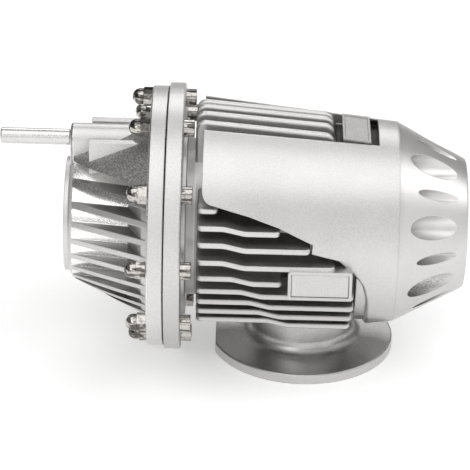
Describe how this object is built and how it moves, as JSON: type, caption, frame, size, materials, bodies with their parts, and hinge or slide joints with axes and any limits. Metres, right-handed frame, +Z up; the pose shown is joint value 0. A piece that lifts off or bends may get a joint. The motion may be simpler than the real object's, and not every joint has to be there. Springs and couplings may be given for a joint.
{
  "type": "blow off valve",
  "caption": "Pull type blow off valve with a finned cast body on a round inlet flange, a bolted diaphragm chamber with a vacuum nipple and a scooped outlet cone.",
  "frame": {"origin": "centre of the inlet bore at the bottom face of the inlet flange", "axes": "+Z up along the inlet bore, +X along the main axis towards the outlet cone"},
  "size_m": [0.1455, 0.084, 0.0854],
  "materials": {
    "cast": "bead blasted satin",
    "turned": "turned satin",
    "stainless": "polished",
    "steel": "ground",
    "bronze": "turned",
    "rubber": "matte"
  },
  "bodies": {
    "casing": {"valve_body": "cast", "diaphragm_cover": "cast", "vacuum_nipple": "turned", "diaphragm": "rubber", "return_spring": "steel", "guide_bush": "bronze", "shaft_seal": "rubber", "bush_circlip": "steel", "valve_seat_ring": "turned", "seat_seal": "rubber", "outlet_cone": "turned", "outlet_seal": "rubber", "outlet_insert": "turned", "outlet_circlip": "steel", "inlet_o_ring": "rubber", "side_badge_plate_near": "turned", "side_badge_plate_far": "turned", "top_badge_plate": "turned", "cap_screw_01": "stainless", "acorn_nut_01": "stainless", "cap_screw_02": "stainless", "acorn_nut_02": "stainless", "cap_screw_03": "stainless", "acorn_nut_03": "stainless", "cap_screw_04": "stainless", "acorn_nut_04": "stainless", "cap_screw_05": "stainless", "acorn_nut_05": "stainless", "cap_screw_06": "stainless", "acorn_nut_06": "stainless", "cap_screw_07": "stainless", "acorn_nut_07": "stainless", "cap_screw_08": "stainless", "acorn_nut_08": "stainless", "cap_screw_09": "stainless", "acorn_nut_09": "stainless", "cap_screw_10": "stainless", "acorn_nut_10": "stainless"},
    "lift_group": {"valve_shaft": "steel", "shaft_nut": "steel", "shaft_washer": "steel", "diaphragm_plate_upper": "turned", "diaphragm_plate_lower": "turned", "primary_valve": "turned", "primary_valve_seal": "rubber", "primary_valve_nut": "steel"},
    "secondary_group": {"secondary_valve": "turned", "secondary_valve_seal": "rubber", "pickup_ring": "steel", "pickup_circlip": "steel", "sequence_spring": "steel"}
  },
  "joints": [
    {"name": "shaft_lift", "type": "slide", "parent": "casing", "child": "lift_group", "axis": [-1, 0, 0], "range_m": [0, 0.0065], "stiffness_N_per_m": 2500, "springref_m": -0.006, "deforming": ["return_spring", "diaphragm"]},
    {"name": "secondary_lift", "type": "slide", "parent": "casing", "child": "secondary_group", "axis": [-1, 0, 0], "range_m": [0, 0.00407], "deforming": ["sequence_spring"]}
  ],
  "couplings": [
    {"joint": "secondary_lift", "follows": "shaft_lift", "ratio": 0.625}
  ]
}
